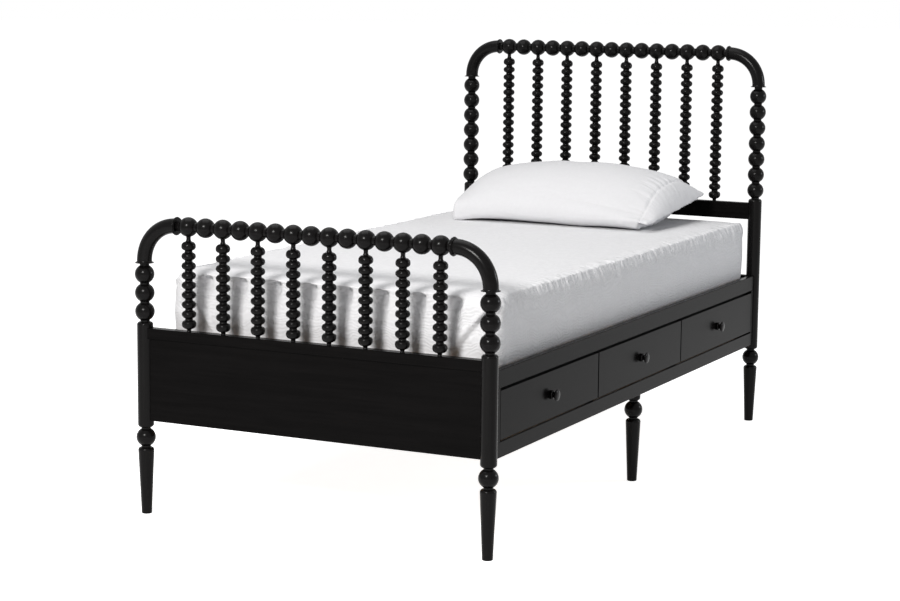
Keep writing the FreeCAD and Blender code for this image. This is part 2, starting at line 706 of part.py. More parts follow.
def corner_nut(y_sign):
    start = corner_ray(y_sign, PLATE_REACH + PLATE_T)
    end = corner_ray(y_sign, PLATE_REACH + PLATE_T + NUT_H)
    along = end - start
    flat = Vec(0, 0, 1)
    across = along.cross(flat)
    across.normalize()
    radius = NUT_FLATS / math.sqrt(3)
    turns = [math.radians(60 * i) for i in range(6)]
    points = [start + flat * (radius * math.cos(t)) + across * (radius * math.sin(t)) for t in turns]
    return Part.Face(Part.makePolygon(points + points[:1])).extrude(along).cut(bolt_hole(y_sign))


def mattress_outline(z, inset, foot_inset, pleat):
    """A level section: rounded corners, and a foot end drawn in behind each spindle."""
    half = MATTRESS_HALF - inset
    head = MATTRESS_HEAD_Y - inset
    foot = MATTRESS_FOOT_Y + foot_inset
    head_r = HEAD_CORNER_R + inset * 0.7
    foot_r = min(FOOT_CORNER_R, half - spindle_places()[-1] - PLEAT_DEPTH)
    share = 1 - math.sqrt(0.5)
    edges = []

    def line(start, end):
        edges.append(Part.makeLine(Vec(*start, z), Vec(*end, z)))

    def arc(start, mid, end):
        edges.append(Part.Arc(Vec(*start, z), Vec(*mid, z), Vec(*end, z)).toShape())

    def corner(side, radius, end, inward):
        """A quarter round between a long side and an end."""
        on_side = (side * half, end + inward * radius)
        middle = (side * (half - radius * share), end + inward * radius * share)
        on_end = (side * (half - radius), end)
        return on_side, middle, on_end

    stops = [foot_r - half] + spindle_places() + [half - foot_r]
    depths = [0.0] + [pleat] * SPINDLE_COUNT + [0.0]
    for i in range(SPINDLE_COUNT + 1):
        middle = (stops[i] + stops[i + 1]) / 2
        start = (stops[i], foot + depths[i])
        end = (stops[i + 1], foot + depths[i + 1])
        arc(start, (middle, foot + min(depths[i], depths[i + 1]) / 4 - pleat / 4), end)
    arc(*reversed(corner(1, foot_r, foot, 1)))
    line((half, foot + foot_r), (half, head - head_r))
    arc(*corner(1, head_r, head, -1))
    line((half - head_r, head), (head_r - half, head))
    arc(*reversed(corner(-1, head_r, head, -1)))
    line((-half, head - head_r), (-half, foot + foot_r))
    arc(*corner(-1, foot_r, foot, 1))
    return Part.Wire(edges)


def mattress():
    """A boxed mattress under a tucked cover: full sides, a rounded edge and a softly crowned top."""
    low = MATTRESS_BOTTOM + SOFT_GAP
    edge = MATTRESS_TOP - COVER_EDGE_H
    sections = [
        mattress_outline(low, HEM_IN, HEM_IN, PLEAT_DEPTH * 0.5),
        mattress_outline(low + HEM_H, HEM_IN * 0.15, HEM_IN * 0.25, PLEAT_DEPTH),
        mattress_outline((low + edge) / 2, 0, 0, PLEAT_DEPTH),
        mattress_outline(edge, COVER_EDGE_IN * 0.02, FOOT_EDGE_IN * 0.2, PLEAT_DEPTH * 1.3),
        mattress_outline(edge + COVER_EDGE_H * 0.6, COVER_EDGE_IN * 0.15, FOOT_EDGE_IN * 0.5, PLEAT_DEPTH),
        mattress_outline(edge + COVER_EDGE_H * 0.87, COVER_EDGE_IN * 0.45, FOOT_EDGE_IN * 0.8, PLEAT_DEPTH * 0.4),
        mattress_outline(MATTRESS_TOP, COVER_EDGE_IN, FOOT_EDGE_IN, PLEAT_DEPTH * 0.1),
    ]
    return Part.makeLoft(sections, True, True)


def between(ends, share):
    """A value between a left, a middle and a right one, for a share from -1 to 1."""
    left, middle, right = ends
    return middle + (right - left) / 2 * share + ((left + right) / 2 - middle) * share ** 2


def pillow_fullness(share):
    """How far a section swells: a plump closed end on the left, a flat flange on the right."""
    if share < 0:
        return PILLOW_END + (1 - PILLOW_END) * math.sqrt(1 - abs(share) ** 1.7)
    return math.sqrt(1 - share ** 4)


def pillow_outline(share):
    """A section from the front seam to the back seam, at a share of the half width from the middle."""
    full = pillow_fullness(share)
    rest = MATTRESS_TOP + SOFT_GAP
    front_y = PILLOW_FRONT_Y + PILLOW_WAIST * full
    back_y = PILLOW_BACK_Y - PILLOW_WAIST * full
    front_z = rest + between(PILLOW_FRONT_LIFT, share)
    back_z = rest + between(PILLOW_BACK_LIFT, share)

    def point(y, rise):
        along = (y - front_y) / (back_y - front_y)
        x = share * (PILLOW_FRONT_W + (PILLOW_BACK_W - PILLOW_FRONT_W) * along) / 2
        return Vec(x, y, front_z + (back_z - front_z) * along + rise)

    front = point(front_y, 0)
    back = point(back_y, 0)
    rise = between(PILLOW_BROW_RISE, share)
    brow = point(front_y + PILLOW_BROW, rise)
    swell = point(front_y + PILLOW_BROW * 0.3, rise * 0.7)
    crown = rest + PILLOW_CROWN - point(PILLOW_CROWN_Y, 0).z
    top = Part.Arc(brow, point(PILLOW_CROWN_Y, PILLOW_EDGE + (crown - PILLOW_EDGE) * full), back).toShape()

    def below(y, lift):
        drop = point(y, 0).z - rest - lift
        return point(y, -PILLOW_EDGE - (drop - PILLOW_EDGE) * math.sqrt(full))

    chin_y = front_y + PILLOW_CHIN
    chin = below(chin_y, PILLOW_CHIN_LIFT)
    jaw_y = front_y + PILLOW_CHIN * 0.45
    jaw = point(jaw_y, (chin.z - point(chin_y, 0).z) * 0.7)
    nose = Part.Arc(front, swell, brow).toShape()
    under = Part.Arc(back, below(PILLOW_REST_Y, PILLOW_REST_LIFT), chin).toShape()
    throat = Part.Arc(chin, jaw, front).toShape()
    return Part.Wire([nose, top, under, throat])


def pillow():
    """A filled pillow: thin closed ends, a high crown and a belly that rests on the mattress."""
    shares = [-1.0, -0.93, -0.75, -0.4, 0.0, 0.4, 0.75, 0.93, 1.0]
    return Part.makeLoft([pillow_outline(share) for share in shares], True, False)


def build():
    """Every node of the bed, by name."""
    nodes = {
        "head_leg_right": head_leg(),
        "head_post_right": head_post(),
        "head_elbow_right": elbow(POST_Y, HEAD_RAIL_Z),
        "foot_post_right": foot_post(),
        "foot_elbow_right": elbow(-POST_Y, FOOT_RAIL_Z),
    }
    for name in list(nodes):
        nodes[name.replace("right", "left")] = mirrored(nodes[name])
    nodes["head_top_rail"] = top_rail(POST_Y, HEAD_RAIL_Z)
    nodes["head_lower_rail"] = head_lower_rail()
    nodes["head_panel"] = end_panel(POST_Y, HEAD_PANEL_TOP)
    nodes["foot_top_rail"] = top_rail(-POST_Y, FOOT_RAIL_Z)
    nodes["foot_cap_rail"] = cap_rail()
    nodes["foot_panel"] = end_panel(-POST_Y, CAP_BOTTOM)
    for i, x in enumerate(spindle_places()):
        head_high = HEAD_RAIL_Z - SPINDLE_SEAT_DROP
        foot_high = FOOT_RAIL_Z - SPINDLE_SEAT_DROP
        nodes[f"head_spindle_{i + 1}"] = spindle(x, POST_Y, HEAD_RAIL_TOP, head_high)
        nodes[f"foot_spindle_{i + 1}"] = spindle(x, -POST_Y, CAP_TOP, foot_high)
    nodes["side_top_rail"] = side_board(OPENING_TOP, SIDE_TOP)
    nodes["side_bottom_rail"] = side_board(SIDE_BOTTOM, OPENING_BOTTOM)
    nodes["side_stiles"] = side_stiles()
    nodes["left_side_panel"] = mirrored(side_board(SIDE_BOTTOM, SIDE_TOP))
    nodes["mid_leg"] = mid_leg()
    nodes["mid_leg_block"] = mid_block()
    nodes["dowel_screws"] = dowel_screws()
    nodes["corner_plates"] = Part.Compound(at_corners(corner_plate))
    nodes["corner_bolts"] = Part.Compound(at_corners(corner_bolt) + at_corners(corner_nut))
    nodes["drawer_partitions"] = partitions()
    nodes["centre_panel"] = centre_panel()
    nodes["slat_ledgers"] = ledgers()
    nodes["slats"] = slats()
    nodes["fixed_slides"] = fixed_slides()
    for i in range(DRAWER_COUNT):
        y = drawer_y(i)
        nodes[f"drawer_{i + 1}_front"] = drawer_front(y)
        nodes[f"drawer_{i + 1}_box"] = drawer_box(y)
        nodes[f"drawer_{i + 1}_slides"] = moving_slides(y)
        nodes[f"drawer_{i + 1}_knob"] = knob(y)
    nodes["mattress"] = mattress()
    nodes["pillow"] = pillow()
    return nodes


def main():
    os.makedirs("parts", exist_ok=True)
    nodes = build()
    for name, shape in nodes.items():
        if not shape.isValid() or not shape.Solids:
            raise ValueError(f"{name} is not a sound solid")
        shape.exportStep(f"parts/{name}.step")
    print(len(nodes), "nodes,", sum(len(s.Solids) for s in nodes.values()), "solids")


main()
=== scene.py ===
"""Looks of a spindle platform bed.

Black paint on the turned and flat wood, bare drawer wood, plated steel, a mattress under a tucked quilt and a pillow.
"""

import json
import math

import bpy
from mathutils import Matrix, Vector, noise
from mathutils.bvhtree import BVHTree


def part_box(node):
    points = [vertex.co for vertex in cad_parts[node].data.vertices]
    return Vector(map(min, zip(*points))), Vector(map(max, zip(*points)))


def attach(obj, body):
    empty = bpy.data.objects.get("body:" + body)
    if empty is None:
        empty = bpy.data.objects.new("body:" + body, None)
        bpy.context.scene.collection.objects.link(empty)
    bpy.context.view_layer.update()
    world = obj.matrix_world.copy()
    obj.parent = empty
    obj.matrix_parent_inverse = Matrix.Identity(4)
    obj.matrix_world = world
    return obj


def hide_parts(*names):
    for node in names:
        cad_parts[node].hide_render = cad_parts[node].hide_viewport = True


bl_info = {
    "name": "Spindle Platform Bed",
    "version": (1, 0, 0),
    "blender": (4, 5, 0),
    "location": "View3D > Sidebar > Bed",
    "description": "Paints the frame, finishes the drawer boxes and makes the bed with a quilt and a pillow",
    "category": "Object",
}

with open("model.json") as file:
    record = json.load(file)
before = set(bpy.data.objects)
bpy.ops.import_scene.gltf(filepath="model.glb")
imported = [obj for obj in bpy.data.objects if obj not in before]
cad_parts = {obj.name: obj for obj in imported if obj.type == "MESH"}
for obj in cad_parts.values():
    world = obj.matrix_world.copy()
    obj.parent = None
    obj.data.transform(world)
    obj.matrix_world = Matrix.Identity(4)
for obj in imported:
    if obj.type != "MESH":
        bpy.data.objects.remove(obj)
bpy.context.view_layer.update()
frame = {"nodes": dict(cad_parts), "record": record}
SLOT_OF = {part["node"]: part["material_slot"] for part in frame["record"]["subparts"]}
MATTRESS_LOW, MATTRESS_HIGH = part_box("mattress")
PILLOW_LOW, PILLOW_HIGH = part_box("pillow")
TURNED = ("elbow", "post", "spindle", "leg", "knob", "foot_top", "head_top")
SPINDLES_X = sorted(sum(corner.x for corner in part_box(f"foot_spindle_{i}")) / 2 for i in range(1, 9))

# Knob: distances out from the drawer and radii in millimetres, and how far its foot lies behind the CAD knob's head.
KNOB_OUT = 0.0185
KNOB_STEPS = 56
KNOB_FLANGE = [math.radians(angle) for angle in range(0, 181, 18)]
KNOB_CONE = [math.radians(angle) for angle in range(0, 91, 10)]
KNOB_DOME = [math.radians(angle) for angle in range(12, 90, 6)]
KNOB_PROFILE = [(-1, 0), (-1, 8.8)]
KNOB_PROFILE += [(3.5 - 3.5 * math.cos(turn), 9 + 3 * math.sin(turn)) for turn in KNOB_FLANGE]
KNOB_PROFILE += [(15 - 8 * math.cos(turn), 15.25 - 9 * math.cos(turn)) for turn in KNOB_CONE]
KNOB_PROFILE += [(15.6, 15.7), (16.4, 15.7), (17, 15.25)]
KNOB_PROFILE += [(17 + 4 * math.sin(turn), 15.25 * math.cos(turn)) for turn in KNOB_DOME] + [(21, 0)]

# Painted shade on the outer edge of the bare wood, where it shows through the drawer gaps, from the middle of the bed.
GAP_SHADE_FROM, GAP_SHADE_TO = 0.4972, 0.4986

# Quilt: its rounded top edges, its corners at the foot, the line of its crinkles and the pleats behind the spindles.
EDGE_DROP = 0.045
EDGE_REACH = 0.075
FOOT_EDGE_SHARE = 0.62
SIDE_EDGE_SHARE = 0.35
CORNER_ASIDE = 0.009
CORNER_FORWARD = 0.004
CRINKLE_X, CRINKLE_Z = 0.468, 0.630
CRINKLE_BAND_X, CRINKLE_BAND_Z = 0.41, 0.58
PLEAT_DEPTH = 0.008
PLEAT_TOP_DEPTH = 0.018
PLEAT_WIDTH = 0.024
PLEAT_ASIDE = 0.006

# Tucked corners at the foot: side, x and z of a point on the fold, its slope and its top.
TUCKS = ((1, -0.3945, 0.564, 0.69, 0.575), (-1, 0.454, 0.610, 0.81, 0.62))
TUCK_DEPTH = 0.013
TUCK_LIP = 0.003

# Pillow: how far its open end slants, and how far its ends are drawn out.
PILLOW_TAPER = 0.030
CLOSED_END_OUT = 0.015
OPEN_END_OUT = 0.021
HEM_THICKNESS = 0.005
HEM_STITCH = 0.0035

# Cloth: how far a soft piece is shrunk first, how far a point may swell, and the frames of the simulation.
SHRINK = 0.002
SWELL_LIMIT = 0.006
SWELL_FRAMES = 20


class BedPaint(bpy.types.PropertyGroup):
    """Paint of the frame, and the wood and metal behind it."""

    colour: bpy.props.FloatVectorProperty(
        name="Paint", description="Paint on the frame, the drawer fronts and the knobs",
        subtype="COLOR", size=4, min=0, max=1, default=(0.0034, 0.0031, 0.0031, 1),
    )
    sheen: bpy.props.FloatProperty(
        name="Paint roughness", description="Roughness of the paint", subtype="FACTOR", min=0, max=1, default=0.22,
    )
    turned_shine: bpy.props.FloatProperty(
        name="Turned shine", description="Shine of the rubbed paint on the turned pieces", subtype="FACTOR",
        min=0, max=1, default=0.08,
    )
    board_shine: bpy.props.FloatProperty(
        name="Board shine", description="Shine of the flatter paint on the boards and drawer fronts", subtype="FACTOR",
        min=0, max=1, default=0.022,
    )
    grain: bpy.props.FloatProperty(
        name="Grain depth", description="How deep the grain shows through the paint", unit="LENGTH", min=0, max=0.002,
        default=0.00007,
    )
    box_wood: bpy.props.FloatVectorProperty(
        name="Bare wood", description="Planed wood of the drawer boxes and the platform",
        subtype="COLOR", size=4, min=0, max=1, default=(0.52, 0.34, 0.18, 1),
    )
    plating: bpy.props.FloatVectorProperty(
        name="Plating", description="Zinc plating of the slides, plates and bolts",
        subtype="COLOR", size=4, min=0, max=1, default=(0.56, 0.57, 0.59, 1),
    )


class BedLinen(bpy.types.PropertyGroup):
    """Quilt and pillow."""

    quilt: bpy.props.FloatVectorProperty(
        name="Quilt", description="Cotton of the quilt",
        subtype="COLOR", size=4, min=0, max=1, default=(0.715, 0.715, 0.73, 1),
    )
    pillow: bpy.props.FloatVectorProperty(
        name="Pillow case", description="Cotton of the pillow case",
        subtype="COLOR", size=4, min=0, max=1, default=(0.655, 0.655, 0.67, 1),
    )
    quilt_voxel: bpy.props.FloatProperty(
        name="Quilt mesh", description="Mesh size of the quilt before it is smoothed", unit="LENGTH",
        min=0.006, max=0.05, default=0.0135,
    )
    pillow_voxel: bpy.props.FloatProperty(
        name="Pillow mesh", description="Mesh size of the pillow before it is smoothed", unit="LENGTH",
        min=0.004, max=0.03, default=0.006,
    )
    crinkle: bpy.props.FloatProperty(
        name="Edge crinkles", description="Height of the crinkles along the quilt's long top edge", unit="LENGTH",
        min=0, max=0.01, default=0.0054,
    )
    pucker: bpy.props.FloatProperty(
        name="Seam puckers", description="Height of the puckers beside the pillow's hem seam", unit="LENGTH",
        min=0, max=0.01, default=0.0040,
    )
    hem: bpy.props.FloatProperty(
        name="Pillow hem", description="Width of the flat hem at the pillow's open end", unit="LENGTH",
        min=0.01, max=0.1, default=0.044,
    )


class BedStage(bpy.types.PropertyGroup):
    """Camera, lights and floor."""

    camera: bpy.props.FloatVectorProperty(
        name="Camera", description="Place of the camera", subtype="TRANSLATION", size=3,
        default=(2.8925, -6.0385, 1.5086),
    )
    bearing: bpy.props.FloatProperty(
        name="Bearing", description="Turn of the camera round the bed", subtype="ANGLE", default=math.radians(26.306),
    )
    tilt: bpy.props.FloatProperty(
        name="Tilt", description="How far the camera looks down", subtype="ANGLE", default=math.radians(8.703),
    )
    roll: bpy.props.FloatProperty(
        name="Roll", description="Turn of the camera about its view", subtype="ANGLE", default=math.radians(0.587),
    )
    lens: bpy.props.FloatProperty(
        name="Lens", description="Focal length on a 36 mm sensor, in millimetres", min=20, max=300, default=92.276,
    )
    key: bpy.props.FloatProperty(
        name="Key light", description="Power of the light in front, in watts", min=0, default=320,
    )
    side: bpy.props.FloatProperty(
        name="Side light", description="Power of the cool light beside the drawers, in watts", min=0, default=54,
    )
    top: bpy.props.FloatProperty(
        name="Top light", description="Power of the wide light over the bed, in watts", min=0, default=72,
    )
    sky: bpy.props.FloatProperty(
        name="Room light", description="Strength of the even light of the room", min=0, max=1, default=0.2,
    )


def only(piece):
    """Selects one object and makes it active."""
    bpy.ops.object.select_all(action="DESELECT")
    piece.select_set(True)
    bpy.context.view_layer.objects.active = piece


def modified(piece, kind, **settings):
    """Adds a modifier with these settings and applies it."""
    only(piece)
    modifier = piece.modifiers.new(kind.title(), kind)
    for name, value in settings.items():
        setattr(modifier, name, value)
    bpy.ops.object.modifier_apply(modifier=modifier.name)


def soft_copy(node, name):
    """A merged copy of a soft CAD node, to be shaped as cloth."""
    piece = bpy.data.objects.new(name, frame["nodes"][node].data.copy())
    bpy.context.scene.collection.objects.link(piece)
    piece.data.materials.clear()
    only(piece)
    bpy.ops.object.mode_set(mode="EDIT")
    bpy.ops.mesh.select_all(action="SELECT")
    bpy.ops.mesh.remove_doubles(threshold=0.00002)
    bpy.ops.mesh.normals_make_consistent(inside=False)
    bpy.ops.object.mode_set(mode="OBJECT")
    return piece


def swell(piece, voxel, pressure):
    """Remeshes a soft piece a little small and blows it up as cloth, with a limit on how far a point may go."""
    modified(piece, "DISPLACE", strength=-SHRINK, mid_level=0)
    only(piece)
    piece.data.remesh_voxel_size = voxel
    bpy.ops.object.voxel_remesh()
    modified(piece, "SMOOTH", factor=0.5, iterations=2)
    rest = [vertex.co.copy() for vertex in piece.data.vertices]
    cloth = piece.modifiers.new("Cloth", "CLOTH")
    cloth.settings.quality = 5
    cloth.settings.mass = 0.3
    cloth.settings.use_pressure = True
    cloth.settings.uniform_pressure_force = pressure
    cloth.settings.effector_weights.gravity = 0
    cloth.settings.tension_stiffness = 15
    cloth.settings.compression_stiffness = 15
    cloth.settings.bending_stiffness = 0.5
    cloth.collision_settings.use_collision = False
    cloth.point_cache.frame_start = 1
    cloth.point_cache.frame_end = SWELL_FRAMES
    for step in range(1, SWELL_FRAMES + 1):
        bpy.context.scene.frame_set(step)
    only(piece)
    bpy.ops.object.modifier_apply(modifier=cloth.name)
    bpy.context.scene.frame_set(1)
    for vertex, start in zip(piece.data.vertices, rest):
        move = vertex.co - start
        if move.length > SWELL_LIMIT:
            vertex.co = start + move * (SWELL_LIMIT / move.length)


def surface_of(mesh):
    """A mesh's surface as it is now, to look up points on."""
    return BVHTree.FromPolygons([v.co.copy() for v in mesh.vertices], [f.vertices[:] for f in mesh.polygons])


def hug(piece, node, share):
    """Draws a soft piece towards the CAD surface that it stands for."""
    surface = surface_of(frame["nodes"][node].data)
    for vertex in piece.data.vertices:
        vertex.co = vertex.co.lerp(surface.find_nearest(vertex.co)[0], share)


def smooth_step(low, high, value):
    """0 below low, 1 above high, and an even rise between them."""
    share = min(1, max(0, (value - low) / (high - low)))
    return share * share * (3 - 2 * share)


def bump(value, width):
    """A soft hump, 1 at 0 and 0 beyond its width."""
    return 0 if abs(value) >= width else (1 - (value / width) ** 2) ** 2


def add(tree, kind, inputs=None, **settings):
    """Adds a shader node, sets it up and joins its inputs to values or sockets."""
    made = tree.nodes.new(kind)
    for name, value in settings.items():
        setattr(made, name, value)
    for name, value in (inputs or {}).items():
        if isinstance(value, bpy.types.NodeSocket):
            tree.links.new(value, made.inputs[name])
        else:
            made.inputs[name].default_value = value
    return made


def math_node(tree, operation, first, second=0.5):
    """The result of a sum on two values or sockets."""
    return add(tree, "ShaderNodeMath", {0: first, 1: second}, operation=operation).outputs[0]


def spread(tree, value, low, high):
    """A value from 0 to 1, spread between two others."""
    return add(tree, "ShaderNodeMapRange", {"Value": value, "To Min": low, "To Max": high}).outputs[0]


def rise_between(tree, value, low, high, course="SMOOTHSTEP"):
    """A rise from 0 at one value to 1 at another."""
    inputs = {"Value": value, "From Min": low, "From Max": high}
    return add(tree, "ShaderNodeMapRange", inputs, interpolation_type=course).outputs[0]


def blend(tree, *parts):
    """The sum of some values, each times its weight."""
    total = None
    for value, weight in parts:
        part = math_node(tree, "MULTIPLY", value, weight)
        total = part if total is None else math_node(tree, "ADD", total, part)
    return total


def noise_texture(tree, place, scale, detail=2, roughness=0.5, distortion=0):
    """The height of a noise at a place."""
    inputs = {"Vector": place, "Scale": scale, "Detail": detail, "Roughness": roughness, "Distortion": distortion}
    return add(tree, "ShaderNodeTexNoise", inputs).outputs["Fac"]


def wave_texture(tree, place, direction, scale, distortion, detail, detail_scale):
    """The height of wandering bands that follow one another along an axis."""
    inputs = {
        "Vector": place, "Scale": scale, "Distortion": distortion, "Detail": detail, "Detail Scale": detail_scale,
    }
    return add(tree, "ShaderNodeTexWave", inputs, bands_direction=direction).outputs["Fac"]


def mapped(tree, place, scale, rotation=(0, 0, 0)):
    """A place stretched and turned for a texture."""
    inputs = {"Vector": place, "Scale": scale, "Rotation": rotation}
    return add(tree, "ShaderNodeMapping", inputs).outputs[0]


def axes_of(tree, place):
    """The X, Y and Z of a place."""
    return add(tree, "ShaderNodeSeparateXYZ", {"Vector": place}).outputs


def tones(tree, value, stops):
    """A colour picked from a row of tones."""
    ramp = add(tree, "ShaderNodeValToRGB", {"Fac": value})
    while len(ramp.color_ramp.elements) < len(stops):
        ramp.color_ramp.elements.new(0.5)
    for element, (place, colour) in zip(ramp.color_ramp.elements, stops):
        element.position = place
        element.color = colour
    return ramp.outputs["Color"]


def shade(colour, factor):
    """The same colour, darker or lighter."""
    return [min(1, c * factor) for c in colour[:3]] + [1]


def group(name, inputs, outputs):
    """A new shader node group with named sockets."""
    tree = bpy.data.node_groups.new(name, "ShaderNodeTree")
    for socket in inputs:
        kind = "NodeSocketVector" if socket == "Place" else "NodeSocketFloat"
        tree.interface.new_socket(name=socket, in_out="INPUT", socket_type=kind)
    for socket in outputs:
        tree.interface.new_socket(name=socket, in_out="OUTPUT", socket_type="NodeSocketFloat")
    return tree, add(tree, "NodeGroupInput").outputs, add(tree, "NodeGroupOutput").inputs


def wood_grain():
    """Long streaks and fine pores, from a place that is already stretched along the grain."""
    name = "Wood grain"
    if name in bpy.data.node_groups:
        return bpy.data.node_groups[name]
    tree, given, result = group(name, ["Place"], ["Streak", "Pore"])
    streak = noise_texture(tree, given["Place"], 1, detail=4, roughness=0.6, distortion=0.6)
    pore = noise_texture(tree, given["Place"], 4.5, detail=3, roughness=0.7)
    tree.links.new(spread(tree, streak, -0.6, 1.6), result["Streak"])
    tree.links.new(spread(tree, pore, -0.6, 1.6), result["Pore"])
    return tree


def weave():
    """Crossed threads that hold on a face of any direction."""
    name = "Woven cotton"
    if name in bpy.data.node_groups:
        return bpy.data.node_groups[name]
    tree, given, result = group(name, ["Place", "Threads"], ["Thread", "Slub"])
    waves = [
        wave_texture(tree, given["Place"], axis, given["Threads"], distortion=1.5, detail=1, detail_scale=0.4)
        for axis in "XYZ"
    ]
    total = math_node(tree, "ADD", math_node(tree, "ADD", waves[0], waves[1]), waves[2])
    tree.links.new(math_node(tree, "DIVIDE", total, 3), result["Thread"])
    tree.links.new(noise_texture(tree, given["Place"], 90, detail=4, roughness=0.65), result["Slub"])
    return tree


def new_material(name):
    """An empty material with a Principled shader on its output."""
    material = bpy.data.materials.new(name)
    material.use_nodes = True
    tree = material.node_tree
    tree.nodes.clear()
    shader = add(tree, "ShaderNodeBsdfPrincipled")
    add(tree, "ShaderNodeOutputMaterial", {"Surface": shader.outputs[0]})
    place = add(tree, "ShaderNodeTexCoord").outputs["Object"]
    return material, tree, shader, place


def join(tree, shader, **inputs):
    """Joins a shader's inputs, whose spaces are written as underscores, to sockets or values."""
    for name, value in inputs.items():
        socket = shader.inputs[name.replace("_", " ")]
        if isinstance(value, bpy.types.NodeSocket):
            tree.links.new(value, socket)
        else:
            socket.default_value = value


def bumped(tree, height, distance, strength):
    """A normal tilted by a height of this many metres."""
    return add(tree, "ShaderNodeBump", {"Height": height, "Distance": distance, "Strength": strength}).outputs[0]


def grain_along(tree, place, axis, across, along):
    """The wood grain group, stretched along one axis."""
    stretch = [across] * 3
    stretch[axis] = along
    inputs = {"Place": mapped(tree, place, stretch)}
    return add(tree, "ShaderNodeGroup", inputs, node_tree=wood_grain()).outputs


def black_paint(name, axis, paint, shine):
    """Sprayed paint with the grain of the wood just showing through."""
    material, tree, shader, place = new_material(name)
    grain = grain_along(tree, place, axis, across=95, along=4)
    cloud = noise_texture(tree, place, 7, detail=3, roughness=0.6)
    peel = noise_texture(tree, place, 420)
    tone = blend(tree, (grain["Streak"], 0.65), (cloud, 0.35))
    colour = tones(tree, tone, [(0.25, shade(paint.colour, 0.8)), (0.75, shade(paint.colour, 1.3))])
    rubbed = blend(tree, (cloud, 0.6), (grain["Pore"], 0.4))
    height = blend(tree, (grain["Pore"], 0.7), (peel, 0.3))
    join(
        tree, shader, Base_Color=colour, Roughness=spread(tree, rubbed, paint.sheen - 0.07, paint.sheen + 0.07),
        Normal=bumped(tree, height, paint.grain, 0.3), Specular_IOR_Level=shine,
    )
    return material


def bare_wood(name, axis, paint):
    """Planed softwood with open grain, with painted shade in the paint's colour at the outer edge, where it shows
    through the drawer gaps.
    """
    material, tree, shader, place = new_material(name)
    grain = grain_along(tree, place, axis, across=38, along=1.6)
    wood = paint.box_wood
    rings = tones(tree, grain["Streak"], [(0.2, shade(wood, 0.72)), (0.5, shade(wood, 1)), (0.8, shade(wood, 1.16))])
    # Painted shade: near the outer edge the wood takes the paint's colour, so the drawer gaps read dark.
    aside = math_node(tree, "ABSOLUTE", axes_of(tree, place)["X"])
    gap_shade = rise_between(tree, aside, GAP_SHADE_FROM, GAP_SHADE_TO, course="LINEAR")
    colour = add(tree, "ShaderNodeMixRGB", {"Fac": gap_shade, "Color1": rings, "Color2": paint.colour}).outputs[0]
    join(
        tree, shader, Base_Color=colour, Roughness=spread(tree, grain["Pore"], 0.5, 0.72),
        Normal=bumped(tree, grain["Pore"], 0.0004, 0.5), Specular_IOR_Level=0.3,
    )
    return material


def plated_steel(paint):
    """Rolled sheet with a dull zinc plating."""
    material, tree, shader, place = new_material("Zinc plated steel")
    rolled = noise_texture(tree, mapped(tree, place, (14, 520, 520)), 1, detail=3)
    spangle = add(tree, "ShaderNodeTexVoronoi", {"Vector": place, "Scale": 130}).outputs["Distance"]
    tone = blend(tree, (rolled, 0.6), (spangle, 0.4))
    colour = tones(tree, tone, [(0.2, shade(paint.plating, 0.8)), (0.8, shade(paint.plating, 1.12))])
    join(
        tree, shader, Base_Color=colour, Metallic=1.0, Roughness=spread(tree, rolled, 0.28, 0.48),
        Normal=bumped(tree, rolled, 0.0001, 0.4),
    )
    return material


def quilted_cotton(linen):
    """White cotton stitched in fine wandering lines, with short ticks along its long top edges."""
    material, tree, shader, place = new_material("Quilted cotton")
    cloth = add(tree, "ShaderNodeGroup", {"Place": place, "Threads": 210}, node_tree=weave()).outputs
    rows = [wave_texture(tree, place, axis, 32, distortion=24, detail=2, detail_scale=0.42) for axis in "ZY"]
    ridge = blend(tree, (rows[0], 0.7), (rows[1], 0.3))
    soft = noise_texture(tree, place, 60, detail=3, roughness=0.6)
    apart = axes_of(tree, place)
    near_top = rise_between(tree, apart["Z"], 0.588, 0.626)
    near_side = rise_between(tree, math_node(tree, "ABSOLUTE", apart["X"]), 0.412, 0.452)
    edge = math_node(tree, "MULTIPLY", near_top, near_side)
    tick = noise_texture(tree, mapped(tree, place, (34, 95, 40), (0.6, 0, 0.5)), 1)
    edge_tick = math_node(tree, "MULTIPLY", tick, edge)
    height = blend(tree, (ridge, 0.30), (soft, 0.30), (cloth["Thread"], 0.10), (edge_tick, 2.6))
    tone = blend(tree, (ridge, 0.5), (cloth["Slub"], 0.5))
    colour = tones(tree, tone, [(0.2, shade(linen.quilt, 0.965)), (0.8, shade(linen.quilt, 1.02))])
    join(
        tree, shader, Base_Color=colour, Roughness=spread(tree, cloth["Slub"], 0.82, 0.95),
        Normal=bumped(tree, height, 0.0036, 0.8), Sheen_Weight=0.15, Specular_IOR_Level=0.2,
    )
    return material


def plain_cotton(linen):
    """Smooth white cotton of the pillow case, with a fine thread and soft creases."""
    material, tree, shader, place = new_material("Pillow cotton")
    cloth = add(tree, "ShaderNodeGroup", {"Place": place, "Threads": 320}, node_tree=weave()).outputs
    drawn = mapped(tree, place, (4, 16, 16), (0, 0, math.radians(12)))
    crease = noise_texture(tree, drawn, 1.2, detail=5, roughness=0.55, distortion=0.8)
    height = blend(tree, (crease, 1.0), (cloth["Thread"], 0.06))
    colour = tones(tree, cloth["Slub"], [(0.2, shade(linen.pillow, 0.975)), (0.8, shade(linen.pillow, 1.02))])
    join(
        tree, shader, Base_Color=colour, Roughness=spread(tree, cloth["Slub"], 0.8, 0.93),
        Normal=bumped(tree, height, 0.004, 0.6), Sheen_Weight=0.15, Specular_IOR_Level=0.2,
    )
    return material


def long_axis(node):
    """The axis that a node is longest on, along which its grain runs."""
    low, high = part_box(node)
    size = high - low
    return max(range(3), key=lambda axis: size[axis])


def is_turned(node):
    """Whether a painted node is turned or bent, and not a board."""
    return any(word in node for word in TURNED)


